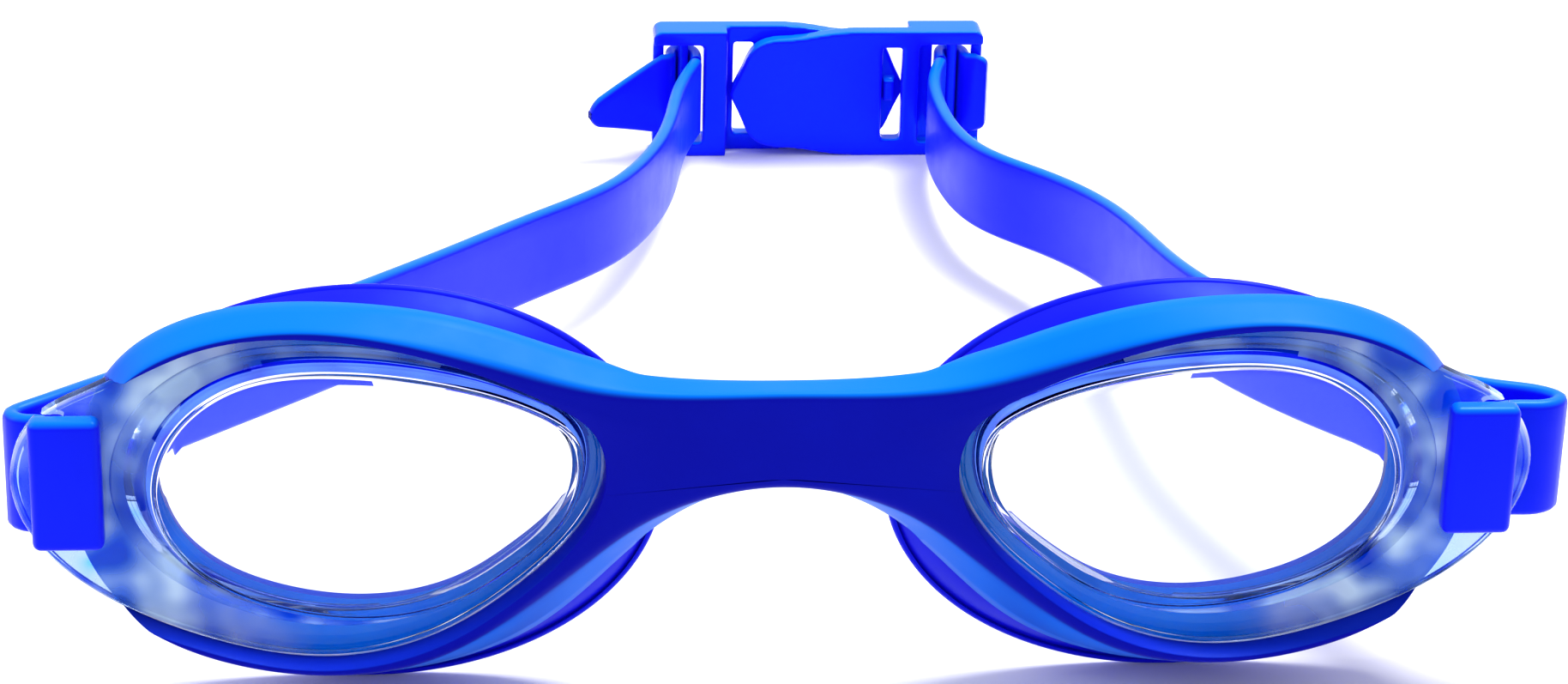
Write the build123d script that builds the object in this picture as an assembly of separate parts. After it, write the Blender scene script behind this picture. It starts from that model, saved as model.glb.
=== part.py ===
from build123d import *
import os

# Swim goggles standing on a table: +Z up, the lenses face -Y, the strap loop runs back along +Y.
# X = 0 is the middle of the nose bridge and Z = 0 is the table.  While the pieces are made, Y = 0
# lies just in front of the bridge; the finished pieces are moved forward so that the origin is on
# the table in the middle of the goggles' length.  All lengths are millimetres.
# "Left" is the -X side and "right" the +X side.

MIDDLE_Y = 84.43                     # half way from the bridge's front to the back of the clasp

# ---- eye cups -------------------------------------------------------------------------
RIM_X, RIM_Z = 45.0, 25.8            # middle of one lens rim
FRAME_FRONT_Y, FRAME_SLOPE_Y, RIM_REAR_Y = 1.9, 6.2, 8.0   # front, end of the sloping sides, back
CUP_HOLE_MARGIN = -0.6               # the hole behind a lens is a little smaller than its window
BRIDGE_HALF_W, BRIDGE_REAR_Y = 17.0, 6.2

# ---- lenses ---------------------------------------------------------------------------
WINDOW_Y = 2.0                       # front of the flat window
WINDOW_THICK = 1.6
FLANGE_FRONT_Y, FLANGE_REAR_Y = 4.9, 6.5
SEAT_GAP = 0.05                      # round the flange and behind it
WALL_SPREAD = 2.0                    # how far the side wall widens down to the flange
WALL_LEAN = 2.4                      # how far it leans out towards the temple
EAR_TIP_X = 80.0
EAR_SLOT_X, EAR_SLOT_W, EAR_SLOT_H = 75.7, 3.2, 14.4
EAR_Z = 28.2

# ---- face seals -----------------------------------------------------------------------
SEAL_REAR_Y = 13.6
SEAL_X, SEAL_Z = 43.3, 23.1
SEAL_HALF_W, SEAL_HALF_H = 31.5, 23.1
SEAL_NECK_HALF_W, SEAL_NECK_HALF_H = 27.6, 18.4
SEAL_WALL = 1.7
SEAL_LIP = 3.2                       # width of the flat lip that meets the face
SEAL_LIP_THICK = 1.4

# ---- strap ----------------------------------------------------------------------------
STRAP_THICK = 1.8
STRAP_WIDTH = 11.6
ANCHOR_X, ANCHOR_W, ANCHOR_H = 74.1, 7.4, 14.8
ANCHOR_FRONT_Y, ANCHOR_REAR_Y = 1.9, 4.7
ANCHOR_ROUND = 1.1
ROOT_END_Y = 25.0                    # the soft root joins the side stretch here
LEFT_REAR_Y = 101.0                  # the left side stretch joins the rear stretch here

# ---- clasp ----------------------------------------------------------------------------
CLASP_X, CLASP_Y = 17.6, 164.0       # middle of the fastened clasp
CLASP_HEIGHT = 18.5
CLASP_THICK = 5.0
CLASP_CORNER = 1.2                   # radius of a half's outer corners
HALF_LENGTH = 23.1                   # from the middle of the clasp to its outer end
TONGUE_TIP = [(0, 8.7), (-3.0, 8.2), (-7.4, 7.7), (-9.2, 6.6), (-10.6, 3.9), (-11.7, 1.5)]   # upper edge
TONGUE_LENGTH = 12.2
LAYER_GAP = 0.3                      # between the two tongues
BODY_START = 12.8                    # a half is full thickness outside this
WINDOW_IN, WINDOW_OUT = 9.0, 11.8    # window for the other half's hook
WINDOW_RAIL = 2.4                    # material above and below the window
HOOK_IN, HOOK_OUT, HOOK_HEIGHT, HOOK_DEPTH = 9.4, 10.9, 3.0, 1.2
INNER_SLOT, OUTER_SLOT = (16.1, 18.2), (19.6, 21.6)
RECESS_IN, RECESS_DEPTH = 14.2, 1.5  # shallow recess that leads the strap into the inner slot
SLOT_RAIL = 2.0
BAR_HALF = 1.0                       # half of a strap bar's thickness, front to back
WRAP_THICK = 1.5
TAIL_START = 22.0
LEFT_TAIL = (10.0, 5.0, 8.3, 1.5)    # length, lower and upper edge of the tip, corner radius
RIGHT_TAIL = (1.8, 4.2, 14.4, 0.7)
TAIL_LEAN = 0.14                     # the tail bends forward a little

RIGHT = 1
LEFT = -1

ABOVE_ALL = 60                       # higher than anything on the goggles
OUTSIDE_ALL = 120                    # further out than anything on the goggles


def spot(side, x, z, y):
    """A point in front view: x outwards from the nose, z up, y front to back."""
    return (side * x, y, z)


def closed_face(side, outline, y):
    """Face in an XZ plane bounded by a smooth closed curve."""
    return make_face(Spline(*[spot(side, x, z, y) for x, z in outline], periodic=True))


def oval_face(side, x, z, half_w, half_h, y):
    """Elliptical face in an XZ plane."""
    plane = Plane(origin=spot(side, x, z, y), x_dir=(1, 0, 0), z_dir=(0, -1, 0))
    return plane * Ellipse(half_w, half_h)


def push_back(face, depth):
    """Extrude a face towards +Y."""
    return extrude(face, amount=depth, dir=(0, 1, 0))


def block(x0, x1, y0, y1, z0, z1):
    """Axis-aligned box between two corners."""
    size = (abs(x1 - x0), abs(y1 - y0), abs(z1 - z0))
    return Pos((x0 + x1) / 2, (y0 + y1) / 2, (z0 + z1) / 2) * Box(*size)


# Outlines in front view, x outwards from the nose bridge, starting at the nose end.
WINDOW_OUTLINE = [
    (20.8, 29.2), (21.6, 33.4), (25.2, 36.3), (33.4, 39.3), (45.5, 41.1), (57.0, 39.5), (63.6, 33.8),
    (65.4, 26.6), (61.6, 18.8), (52.2, 13.6), (41.8, 12.4), (33.4, 14.6), (27.2, 18.9), (22.2, 24.4),
]
FLANGE_OUTLINE = [
    (18.5, 28.8), (19.8, 33.8), (24.4, 37.3), (33.4, 41.3), (49.0, 44.7), (60.0, 43.6), (71.3, 38.2),
    (77.6, 34.4), (EAR_TIP_X, 28.2), (78.2, 21.6), (72.0, 15.0), (61.2, 9.4), (46.5, 6.6),
    (35.6, 9.4), (27.4, 15.0), (20.7, 22.4),
]
# The frame from the middle of the bridge's top, round one rim, to the bridge's bottom.
FRAME_FRONT_OUTLINE = [
    (0, 38.2), (10.5, 38.1), (19.3, 38.8), (27.9, 41.0), (36.7, 43.6), (47.5, 45.6), (59.0, 44.6),
    (67.4, 40.4), (72.4, 31.0), (72.4, 20.5), (67.0, 12.2), (57.5, 7.4), (46.5, 5.9), (36.0, 7.9),
    (26.3, 14.4), (21.0, 18.8), (14.8, 23.4), (7.5, 26.4), (0, 27.4),
]
FRAME_REAR_OUTLINE = [
    (0, 38.0), (10.5, 38.4), (19.3, 39.9), (27.9, 42.9), (36.7, 45.4), (47.5, 46.6), (59.5, 45.5),
    (68.0, 41.0), (73.2, 31.0), (73.2, 20.3), (67.6, 11.0), (58.0, 5.6), (46.5, 3.8), (35.0, 5.2),
    (25.4, 9.4), (19.8, 14.2), (14.6, 19.4), (7.5, 24.2), (0, 25.8),
]


def grown(outline, spread, lean=0.0):
    """The outline widened about its middle by the spread, and moved towards the temple by the lean."""
    middle_x = sum(x for x, z in outline) / len(outline)
    middle_z = sum(z for x, z in outline) / len(outline)
    moved = []
    for x, z in outline:
        arm = Vector(x - middle_x, z - middle_z)
        far = arm.normalized() * (arm.length + spread)
        moved.append((middle_x + far.X + lean, middle_z + far.Y))
    return moved


def lens(side):
    """Clear lens: flat window, sloping side wall, flange, and an ear with a strap slot."""
    wall = loft([
        closed_face(side, WINDOW_OUTLINE, WINDOW_Y),
        closed_face(side, grown(WINDOW_OUTLINE, WALL_SPREAD, WALL_LEAN), FLANGE_REAR_Y),
    ])
    flange = push_back(closed_face(side, FLANGE_OUTLINE, FLANGE_FRONT_Y), FLANGE_REAR_Y - FLANGE_FRONT_Y)
    wide_inside = grown(WINDOW_OUTLINE, WALL_SPREAD - WINDOW_THICK, WALL_LEAN)
    inside = loft([
        closed_face(side, grown(WINDOW_OUTLINE, -WINDOW_THICK), WINDOW_Y + WINDOW_THICK),
        closed_face(side, wide_inside, FLANGE_REAR_Y + 0.5),
    ])
    slot = block(
        side * (EAR_SLOT_X - EAR_SLOT_W / 2), side * (EAR_SLOT_X + EAR_SLOT_W / 2),
        FLANGE_FRONT_Y - 1, FLANGE_REAR_Y + 1, EAR_Z - EAR_SLOT_H / 2, EAR_Z + EAR_SLOT_H / 2,
    )
    return wall + flange - inside - slot


def frame_face(outline, y):
    """Face of the frame across both rims and the waisted nose bridge, from half its outline."""
    right = [(x, y, z) for x, z in outline]
    left = [(-x, y, z) for x, z in reversed(outline[1:-1])]
    return make_face(Spline(*(right + left), periodic=True))


def eye_frame():
    """One soft moulding: two lens rims with sloping sides and the thinner nose bridge between."""
    rear = frame_face(FRAME_REAR_OUTLINE, FRAME_SLOPE_Y)
    body = loft([frame_face(FRAME_FRONT_OUTLINE, FRAME_FRONT_Y), rear])
    body += push_back(rear, RIM_REAR_Y - FRAME_SLOPE_Y)
    body -= block(-BRIDGE_HALF_W, BRIDGE_HALF_W, BRIDGE_REAR_Y, RIM_REAR_Y + 1, 0, ABOVE_ALL)
    for side in (LEFT, RIGHT):
        seat = closed_face(side, grown(FLANGE_OUTLINE, SEAT_GAP), 0)
        hole = closed_face(side, grown(WINDOW_OUTLINE, CUP_HOLE_MARGIN), 0)
        body -= push_back(seat, FLANGE_REAR_Y + SEAT_GAP) + push_back(hole, RIM_REAR_Y + 1)
    return body


def seal_loft(side, inset, front_y, rear_y):
    """Flaring oval tube of the seal, made smaller all round by the inset."""
    neck = oval_face(side, RIM_X, RIM_Z, SEAL_NECK_HALF_W - inset, SEAL_NECK_HALF_H - inset, front_y)
    rear = oval_face(side, SEAL_X, SEAL_Z, SEAL_HALF_W - inset, SEAL_HALF_H - inset, rear_y)
    return loft([neck, rear])


def face_seal(side):
    """Soft flared skirt behind a rim, with a lip turned in where it meets the face."""
    lip_front = SEAL_REAR_Y - SEAL_LIP_THICK
    skirt = seal_loft(side, 0, RIM_REAR_Y, SEAL_REAR_Y)
    skirt -= seal_loft(side, SEAL_WALL, RIM_REAR_Y, SEAL_REAR_Y)
    lip = seal_loft(side, 0, RIM_REAR_Y, SEAL_REAR_Y)
    lip -= block(0, side * OUTSIDE_ALL, 0, lip_front, -1, ABOVE_ALL)
    opening = oval_face(side, SEAL_X, SEAL_Z, SEAL_HALF_W - SEAL_LIP, SEAL_HALF_H - SEAL_LIP, 0)
    return skirt + (lip - push_back(opening, SEAL_REAR_Y + 1))


def strap_anchor(side):
    """Thick moulded strap end that is too big to pull through the ear's slot."""
    body = block(
        side * (ANCHOR_X - ANCHOR_W / 2), side * (ANCHOR_X + ANCHOR_W / 2),
        ANCHOR_FRONT_Y, ANCHOR_REAR_Y, EAR_Z - ANCHOR_H / 2, EAR_Z + ANCHOR_H / 2,
    )
    return fillet(body.edges().filter_by(Axis.Y) + body.faces().sort_by(Axis.Y)[0].edges(), ANCHOR_ROUND)


# Strap centre lines in plan, x outwards from the nose line on the strap's own side.
FOLD_PATH = [
    (75.7, ANCHOR_REAR_Y), (75.7, 6.2), (76.0, 7.6), (77.8, 8.9), (80.2, 9.1), (81.8, 10.7),
    (80.6, 12.6), (77.6, 14.8),
]
LEFT_PATH = [
    (77.1, 15.2), (66.0, 31.0), (46.2, 59.0), (34.0, 77.0), (24.0, 92.5), (13.2, 109.0),
    (8.8, 120.0), (6.0, 130.0), (4.2, 139.5), (2.8, 149.0), (1.2, 156.0), (-0.3, 160.9),
]
RIGHT_PATH = [
    (77.1, 15.2), (66.5, 31.0), (58.8, 48.0), (53.4, 65.0), (51.0, 82.0), (48.6, 97.0),
    (42.5, 112.0), (36.6, 122.0), (33.4, 134.0), (32.6, 146.0), (33.2, 155.0), (34.6, 160.9),
]

# The strap's way round the mid bar, outwards from the clasp's middle and front to back.
WRAP_PATH = [
    (17.2, -2.6), (17.2, 0.4), (17.7, 1.7), (18.9, 2.2), (20.1, 1.7), (20.6, 0.4), (20.7, -0.9),
    (21.2, -1.8), (TAIL_START, -2.1),
]

# Lower edge of the strap in side view, y then z: it sinks from the ears to the clasp.
LOWER_EDGE = [(0, 21.4), (16, 20.9), (31, 18.3), (59, 14.0), (92, 9.0), (130, 4.6), (154, 3.5), (190, 3.5)]


def height_prism():
    """Everything between the strap's lower and upper edges, across the whole width."""
    lower = Spline(*[(-OUTSIDE_ALL, y, z) for y, z in LOWER_EDGE])
    upper = Spline(*[(-OUTSIDE_ALL, y, z + STRAP_WIDTH) for y, z in LOWER_EDGE])
    ends = [Line(lower @ 0, upper @ 0), Line(lower @ 1, upper @ 1)]
    return extrude(make_face([lower, upper] + ends), amount=2 * OUTSIDE_ALL, dir=(1, 0, 0))


def band(path, start, end, thick, steps=14):
    """Strap stretch between two fractions of a plan curve, thickened to both sides."""
    inner, outer = [], []
    for step in range(steps + 1):
        fraction = start + (end - start) * step / steps
        point = path @ fraction
        across = (path % fraction).cross(Vector(0, 0, 1)).normalized() * (thick / 2)
        inner.append(point - across)
        outer.append(point + across)
    sides = [Spline(*inner), Spline(*outer)]
    ends = [Line(inner[0], outer[0]), Line(inner[-1], outer[-1])]
    slab = extrude(make_face(sides + ends), amount=ABOVE_ALL, dir=(0, 0, 1))
    return slab & HEIGHT_PRISM


def plan_curve(side, points):
    """Smooth plan curve through points given outwards from the nose line."""
    return Spline(*[(side * x, y, 0) for x, y in points])


def fraction_at_y(path, y):
    """Fraction along a curve where its y first reaches the given value."""
    low, high = 0.0, 1.0
    for _ in range(30):
        middle = (low + high) / 2
        if (path @ middle).Y < y:
            low = middle
        else:
            high = middle
    return low


HEIGHT_PRISM = height_prism()


def strap_fold(side):
    """Strap from its anchor back through the ear's slot and folded round behind the ear."""
    return band(plan_curve(side, FOLD_PATH), 0, 1, STRAP_THICK, steps=24)


def strap_stretches():
    """Root and side stretches of both straps, and the left strap's free rear stretch."""
    left = plan_curve(LEFT, LEFT_PATH)
    right = plan_curve(RIGHT, RIGHT_PATH)
    left_root, right_root = fraction_at_y(left, ROOT_END_Y), fraction_at_y(right, ROOT_END_Y)
    left_rear = fraction_at_y(left, LEFT_REAR_Y)
    return {
        "left_strap_root": band(left, 0, left_root, STRAP_THICK),
        "left_strap_side": band(left, left_root, left_rear, STRAP_THICK),
        "left_strap_rear": band(left, left_rear, 1, STRAP_THICK, steps=20),
        "right_strap_root": band(right, 0, right_root, STRAP_THICK),
        "right_strap_side": band(right, right_root, 1, STRAP_THICK, steps=30),
    }


def clasp_half():
    """Right clasp half about the clasp's middle: tongue in front, hook, window, strap bars."""
    front = -CLASP_THICK / 2
    half_h = CLASP_HEIGHT / 2
    upper = TONGUE_TIP[::-1] + [(5.0, half_h)]
    lower = [(x, -z) for x, z in reversed(upper)]
    edge = Spline(*[spot(RIGHT, x, z, front) for x, z in lower + [(-TONGUE_LENGTH, 0)] + upper])
    corners = [spot(RIGHT, BODY_START, half_h, front), spot(RIGHT, BODY_START, -half_h, front)]
    root = Polyline(edge @ 1, *corners, edge @ 0)
    tongue = push_back(make_face([edge] + root.edges()), -front - LAYER_GAP / 2)
    window = block(WINDOW_IN, WINDOW_OUT, front - 1, 1, WINDOW_RAIL - half_h, half_h - WINDOW_RAIL)
    hook = block(-HOOK_OUT, -HOOK_IN, -1, HOOK_DEPTH, -HOOK_HEIGHT / 2, HOOK_HEIGHT / 2)
    body = block(BODY_START, HALF_LENGTH, front, -front, -half_h, half_h)
    body = fillet(body.edges().filter_by(Axis.Y).group_by(Axis.X)[-1], CLASP_CORNER)
    for inner, outer in (INNER_SLOT, OUTER_SLOT):
        body -= block(inner, outer, front - 1, 1 - front, SLOT_RAIL - half_h, half_h - SLOT_RAIL)
    for inner, outer in ((INNER_SLOT[1], OUTER_SLOT[0]), (OUTER_SLOT[1], HALF_LENGTH + 1)):
        for near, far in ((front - 1, -BAR_HALF), (BAR_HALF, 1 - front)):
            body -= block(inner, outer, near, far, SLOT_RAIL - half_h, half_h - SLOT_RAIL)
    slot_half = half_h - SLOT_RAIL
    body -= block(RECESS_IN, INNER_SLOT[0], front - 1, front + RECESS_DEPTH, -slot_half, slot_half)
    return tongue - window + hook + body


def at_clasp(shape, side):
    """Turn a shape about the clasp's middle onto its side and put it in place."""
    turned = shape if side == RIGHT else Rot(0, 0, 180) * shape
    return Pos(CLASP_X, CLASP_Y, CLASP_HEIGHT / 2) * turned


def strap_wrap(side):
    """Strap going back through the inner slot, round the mid bar and out of the outer slot."""
    path = Spline(*[(CLASP_X + side * u, CLASP_Y + v, 0) for u, v in WRAP_PATH])
    return band(path, 0, 1, WRAP_THICK, steps=40)


def strap_tail(side, length, tip_low, tip_high, tip_round):
    """Tapered free end of the strap, coming out in front of the clasp's outer bar."""
    start_x, start_y = CLASP_X + side * TAIL_START, CLASP_Y + WRAP_PATH[-1][1]
    tip_x, tip_y = start_x + side * length, start_y - length * TAIL_LEAN
    directions = ((side, 0, 0), (side, -2 * TAIL_LEAN, 0))
    path = Spline((start_x, start_y, 0), (tip_x, tip_y, 0), tangents=directions)
    low, high = LOWER_EDGE[-1][1], LOWER_EDGE[-1][1] + STRAP_WIDTH
    corners = [(start_x, low), (tip_x, tip_low), (tip_x, tip_high), (start_x, high)]
    outline = make_face(Polyline(*[(x, 0, z) for x, z in corners], close=True))
    taper = push_back(outline, CLASP_Y + 10)
    tip_edges = taper.edges().filter_by(Axis.Y).sort_by(Axis.X)
    taper = fillet(tip_edges[:2] if side == LEFT else tip_edges[-2:], tip_round)
    return band(path, 0, 1, WRAP_THICK) & taper


def save(parts):
    """Write one STEP file per piece."""
    os.makedirs("parts", exist_ok=True)
    for name, shape in parts.items():
        export_step(Pos(0, -MIDDLE_Y, 0) * shape, f"parts/{name}.step")


def goggles():
    """Every piece of the goggles, by name."""
    parts = {"eye_frame": eye_frame()}
    for name, side in (("left", LEFT), ("right", RIGHT)):
        parts[f"{name}_lens"] = lens(side)
        parts[f"{name}_face_seal"] = face_seal(side)
        parts[f"{name}_strap_anchor"] = strap_anchor(side)
        parts[f"{name}_strap_fold"] = strap_fold(side)
        parts[f"{name}_strap_wrap"] = strap_wrap(side)
        parts[f"{name}_clasp_half"] = at_clasp(clasp_half(), side)
    parts.update(strap_stretches())
    parts["left_strap_tail"] = strap_tail(LEFT, *LEFT_TAIL)
    parts["right_strap_tail"] = strap_tail(RIGHT, *RIGHT_TAIL)
    return parts


save(goggles())
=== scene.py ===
import math

import bmesh
import bpy
import numpy as np
from mathutils import Matrix, Vector


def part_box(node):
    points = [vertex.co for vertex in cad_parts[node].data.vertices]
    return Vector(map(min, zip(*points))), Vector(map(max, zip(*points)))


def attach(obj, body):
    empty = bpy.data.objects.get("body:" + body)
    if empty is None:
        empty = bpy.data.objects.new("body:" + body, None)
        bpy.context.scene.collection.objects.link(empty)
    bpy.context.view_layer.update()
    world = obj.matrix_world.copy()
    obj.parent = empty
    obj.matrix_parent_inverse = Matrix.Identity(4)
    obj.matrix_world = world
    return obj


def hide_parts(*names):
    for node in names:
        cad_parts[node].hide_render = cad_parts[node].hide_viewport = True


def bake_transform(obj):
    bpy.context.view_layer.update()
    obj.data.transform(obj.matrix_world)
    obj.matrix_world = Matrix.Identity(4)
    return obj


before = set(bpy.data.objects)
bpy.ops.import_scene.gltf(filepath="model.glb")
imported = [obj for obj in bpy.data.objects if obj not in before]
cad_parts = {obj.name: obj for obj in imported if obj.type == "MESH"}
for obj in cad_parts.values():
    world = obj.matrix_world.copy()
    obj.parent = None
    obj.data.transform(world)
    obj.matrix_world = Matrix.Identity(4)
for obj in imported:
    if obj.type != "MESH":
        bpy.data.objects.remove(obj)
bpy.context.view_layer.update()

# Swim goggles on a pale table.  Shapes are made in millimetres with X = 0 in the middle of the nose
# bridge, Z = 0 on the table and Y running back from just in front of the bridge, and are put into
# the frame by place().  "Left" is the -X side and "right" the +X side.

MM = 0.001
FRAME_FRONT_Y = 1.9
SHIFT_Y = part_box("eye_frame")[0].y / MM - FRAME_FRONT_Y
SIDES = (("left", -1), ("right", 1))

# ---- sizes ----------------------------------------------------------------------------
RIM_X, RIM_Z = 45.0, 25.8            # middle of one lens rim
FRAME_SLOPE_Y, RIM_REAR_Y = 6.2, 8.0
CUP_HOLE_MARGIN = -0.6               # the hole behind a lens is a little smaller than its window
BRIDGE_REAR_Y = 6.2
BRIDGE_INNER_X, BRIDGE_OUTER_X = 14.0, 20.0   # the back steps from bridge to rim between these
WINDOW_Y, WINDOW_THICK = 2.0, 1.6
FLANGE_FRONT_Y, FLANGE_REAR_Y = 4.9, 6.5
SEAT_GAP = 0.05
WALL_SPREAD, WALL_LEAN = 2.0, 2.4
EAR_SLOT_X, EAR_SLOT_W, EAR_SLOT_H, EAR_Z = 75.7, 3.2, 14.4, 28.2
SEAL_REAR_Y, SEAL_X, SEAL_Z = 13.6, 43.3, 23.1
SEAL_HALF_W, SEAL_HALF_H = 31.5, 23.1
SEAL_NECK_HALF_W, SEAL_NECK_HALF_H = 27.6, 18.4
SEAL_WALL, SEAL_LIP, SEAL_LIP_THICK = 1.7, 3.2, 1.4
STRAP_THICK, STRAP_WIDTH, WRAP_THICK = 1.8, 11.6, 1.5
ANCHOR_X, ANCHOR_W, ANCHOR_H = 74.1, 7.4, 14.8
ANCHOR_FRONT_Y, ANCHOR_REAR_Y = 1.9, 4.7
CLASP_X, CLASP_Y = 17.6, 164.0
TAIL_START, TAIL_LEAN = 22.0, 0.14
LEFT_REAR_Y = 101.0                  # the left strap's free rear stretch starts here

# ---- outlines in front view, x outwards from the nose, then z --------------------------
WINDOW_OUTLINE = [
    (20.8, 29.2), (21.6, 33.4), (25.2, 36.3), (33.4, 39.3), (45.5, 41.1), (57.0, 39.5), (63.6, 33.8),
    (65.4, 26.6), (61.6, 18.8), (52.2, 13.6), (41.8, 12.4), (33.4, 14.6), (27.2, 18.9), (22.2, 24.4),
]
FLANGE_OUTLINE = [
    (18.5, 28.8), (19.8, 33.8), (24.4, 37.3), (33.4, 41.3), (49.0, 44.7), (60.0, 43.6), (71.3, 38.2),
    (77.6, 34.4), (80.0, 28.2), (78.2, 21.6), (72.0, 15.0), (61.2, 9.4), (46.5, 6.6),
    (35.6, 9.4), (27.4, 15.0), (20.7, 22.4),
]
FRAME_FRONT_OUTLINE = [
    (0, 38.2), (10.5, 38.1), (19.3, 38.8), (27.9, 41.0), (36.7, 43.6), (47.5, 45.6), (59.0, 44.6),
    (67.4, 40.4), (72.4, 31.0), (72.4, 20.5), (67.0, 12.2), (57.5, 7.4), (46.5, 5.9), (36.0, 7.9),
    (26.3, 14.4), (21.0, 18.8), (14.8, 23.4), (7.5, 26.4), (0, 27.4),
]
FRAME_REAR_OUTLINE = [
    (0, 38.0), (10.5, 38.4), (19.3, 39.9), (27.9, 42.9), (36.7, 45.4), (47.5, 46.6), (59.5, 45.5),
    (68.0, 41.0), (73.2, 31.0), (73.2, 20.3), (67.6, 11.0), (58.0, 5.6), (46.5, 3.8), (35.0, 5.2),
    (25.4, 9.4), (19.8, 14.2), (14.6, 19.4), (7.5, 24.2), (0, 25.8),
]

# ---- strap routes in plan, x outwards on the strap's own side, then y -------------------
FOLD_PATH = [
    (75.7, 4.7), (75.7, 6.2), (76.0, 7.6), (77.8, 8.9), (80.2, 9.1), (81.8, 10.7), (80.6, 12.6),
    (77.6, 14.8),
]
LEFT_PATH = [
    (77.1, 15.2), (66.0, 31.0), (46.2, 59.0), (34.0, 77.0), (24.0, 92.5), (13.2, 109.0),
    (8.8, 120.0), (6.0, 130.0), (4.2, 139.5), (2.8, 149.0), (1.2, 156.0), (-0.3, 160.9),
]
RIGHT_PATH = [
    (77.1, 15.2), (66.5, 31.0), (58.8, 48.0), (53.4, 65.0), (51.0, 82.0), (48.6, 97.0),
    (42.5, 112.0), (36.6, 122.0), (33.4, 134.0), (32.6, 146.0), (33.2, 155.0), (34.6, 160.9),
]
WRAP_PATH = [
    (17.2, -2.6), (17.2, 0.4), (17.7, 1.7), (18.9, 2.2), (20.1, 1.7), (20.6, 0.4), (20.7, -0.9),
    (21.2, -1.8), (TAIL_START, -2.1),
]
LOWER_EDGE = [                       # y, then the height of the strap's lower edge
    (0, 21.4), (16, 20.9), (31, 18.3), (59, 14.0), (92, 9.0), (130, 4.6), (154, 3.5), (190, 3.5),
]

# Strap tails: length, lower and upper edge of the tip, corner radius of the tip.
TAILS = {"left": (10.0, 5.0, 8.3, 1.5), "right": (1.8, 4.2, 14.4, 0.7)}


# ======================================================================================
# Curves
# ======================================================================================

SAMPLES_PER_POINT = 40               # used to measure the length of a curve
RIM_SAMPLES = 720


def solve_slopes(knots, points, closed):
    """Second derivatives of a cubic spline at its knots: natural ends, or closed."""
    step = np.diff(knots)
    count = len(points)
    matrix = np.zeros((count, count))
    right = np.zeros((count, points.shape[1]))
    if closed:
        loop = count - 1
        for i in range(loop):
            before, after = step[(i - 1) % loop], step[i % loop]
            matrix[i, (i - 1) % loop] += before
            matrix[i, i] += 2 * (before + after)
            matrix[i, (i + 1) % loop] += after
            ahead = (points[(i + 1) % loop] - points[i]) / after
            behind = (points[i] - points[(i - 1) % loop]) / before
            right[i] = 6 * (ahead - behind)
        matrix[loop, loop], matrix[loop, 0] = 1, -1
        return np.linalg.solve(matrix, right)
    matrix[0, 0] = matrix[-1, -1] = 1
    for i in range(1, count - 1):
        matrix[i, i - 1:i + 2] = step[i - 1], 2 * (step[i - 1] + step[i]), step[i]
        ahead = (points[i + 1] - points[i]) / step[i]
        behind = (points[i] - points[i - 1]) / step[i - 1]
        right[i] = 6 * (ahead - behind)
    return np.linalg.solve(matrix, right)


def smooth_curve(points, count, closed=False):
    """Evenly spaced points along the cubic spline through the given points."""
    points = np.array(points, float)
    if closed:
        points = np.vstack([points, points[:1]])
    knots = np.concatenate([[0], np.cumsum(np.linalg.norm(np.diff(points, axis=0), axis=1))])
    bend = solve_slopes(knots, points, closed)

    def at(t):
        i = np.clip(np.searchsorted(knots, t, side="right") - 1, 0, len(knots) - 2)
        h = (knots[i + 1] - knots[i])[:, None]
        a = (knots[i + 1] - t)[:, None] / h
        b = 1 - a
        curve = a * points[i] + b * points[i + 1]
        return curve + ((a ** 3 - a) * bend[i] + (b ** 3 - b) * bend[i + 1]) * h ** 2 / 6

    fine = np.linspace(0, knots[-1], SAMPLES_PER_POINT * len(points))
    length = np.concatenate([[0], np.cumsum(np.linalg.norm(np.diff(at(fine), axis=0), axis=1))])
    wanted = np.linspace(0, length[-1], count + 1 if closed else count)
    if closed:
        wanted = wanted[:-1]
    return at(np.interp(wanted, length, fine))


def grown(outline, spread, lean=0.0):
    """The outline widened about its middle by the spread and moved to the temple by the lean."""
    outline = np.array(outline, float)
    arm = outline - outline.mean(axis=0)
    length = np.linalg.norm(arm, axis=1, keepdims=True)
    return outline.mean(axis=0) + arm / length * (length + spread) + np.array([lean, 0.0])


def ray_reach(outline, angles, centre=(RIM_X, RIM_Z)):
    """Distance from the centre to a closed curve at each angle."""
    arm = smooth_curve(outline, RIM_SAMPLES, closed=True) - np.array(centre)
    angle = np.arctan2(arm[:, 1], arm[:, 0])
    order = np.argsort(angle)
    reach = np.linalg.norm(arm, axis=1)[order]
    return np.interp(angles, angle[order], reach, period=2 * math.pi)


# ======================================================================================
# Meshes
# ======================================================================================

MERGE_WITHIN, FLAT_WITHIN = 0.004, 0.002   # points this close are merged, edges this short removed


def place(points):
    """Millimetre points put into the frame, in metres."""
    points = np.array(points, float)
    points[:, 1] += SHIFT_Y
    return points * MM


def make_object(name, points, faces, material, sharp_angle=40.0):
    """Smooth-shaded mesh object from millimetre points, with duplicate points merged."""
    mesh = bpy.data.meshes.new(name)
    mesh.from_pydata(place(points).tolist(), [], faces)
    work = bmesh.new()
    work.from_mesh(mesh)
    bmesh.ops.remove_doubles(work, verts=work.verts, dist=MERGE_WITHIN * MM)
    bmesh.ops.dissolve_degenerate(work, edges=work.edges, dist=FLAT_WITHIN * MM)
    bmesh.ops.recalc_face_normals(work, faces=work.faces)
    work.to_mesh(mesh)
    work.free()
    piece = bpy.data.objects.new(name, mesh)
    bpy.context.scene.collection.objects.link(piece)
    mesh.materials.append(material)
    shade(piece, sharp_angle)
    return piece


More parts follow.
